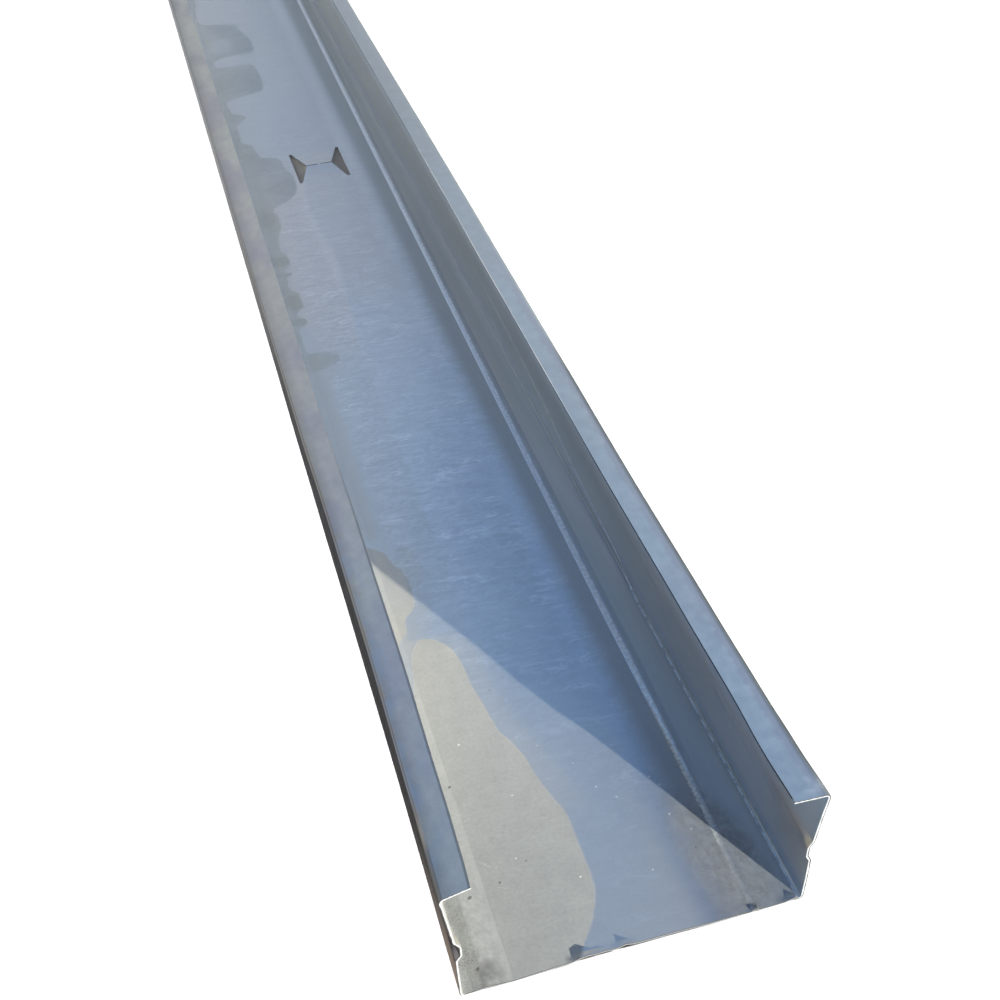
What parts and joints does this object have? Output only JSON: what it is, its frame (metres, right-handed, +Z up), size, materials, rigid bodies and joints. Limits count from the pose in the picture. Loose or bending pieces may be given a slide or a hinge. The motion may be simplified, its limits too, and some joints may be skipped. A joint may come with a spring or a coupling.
{
  "type": "steel stud",
  "caption": "Light galvanised steel C-shaped stud for partition walls, with two lips, stiffening ribs, flange grooves and H-shaped service punches along its web.",
  "frame": {"origin": "under the middle of the web, halfway along the stud, on the surface that it lies on", "axes": "+Y along the stud, +X across the web from the left flange to the right one, +Z up, out of the open side"},
  "size_m": [0.073, 2.4, 0.0342],
  "materials": {
    "galvanised_sheet": "hot-dip galvanised, satin, with faint rolling marks and dried water stains"
  },
  "bodies": {
    "root": {"stud": "galvanised_sheet"}
  },
  "joints": []
}
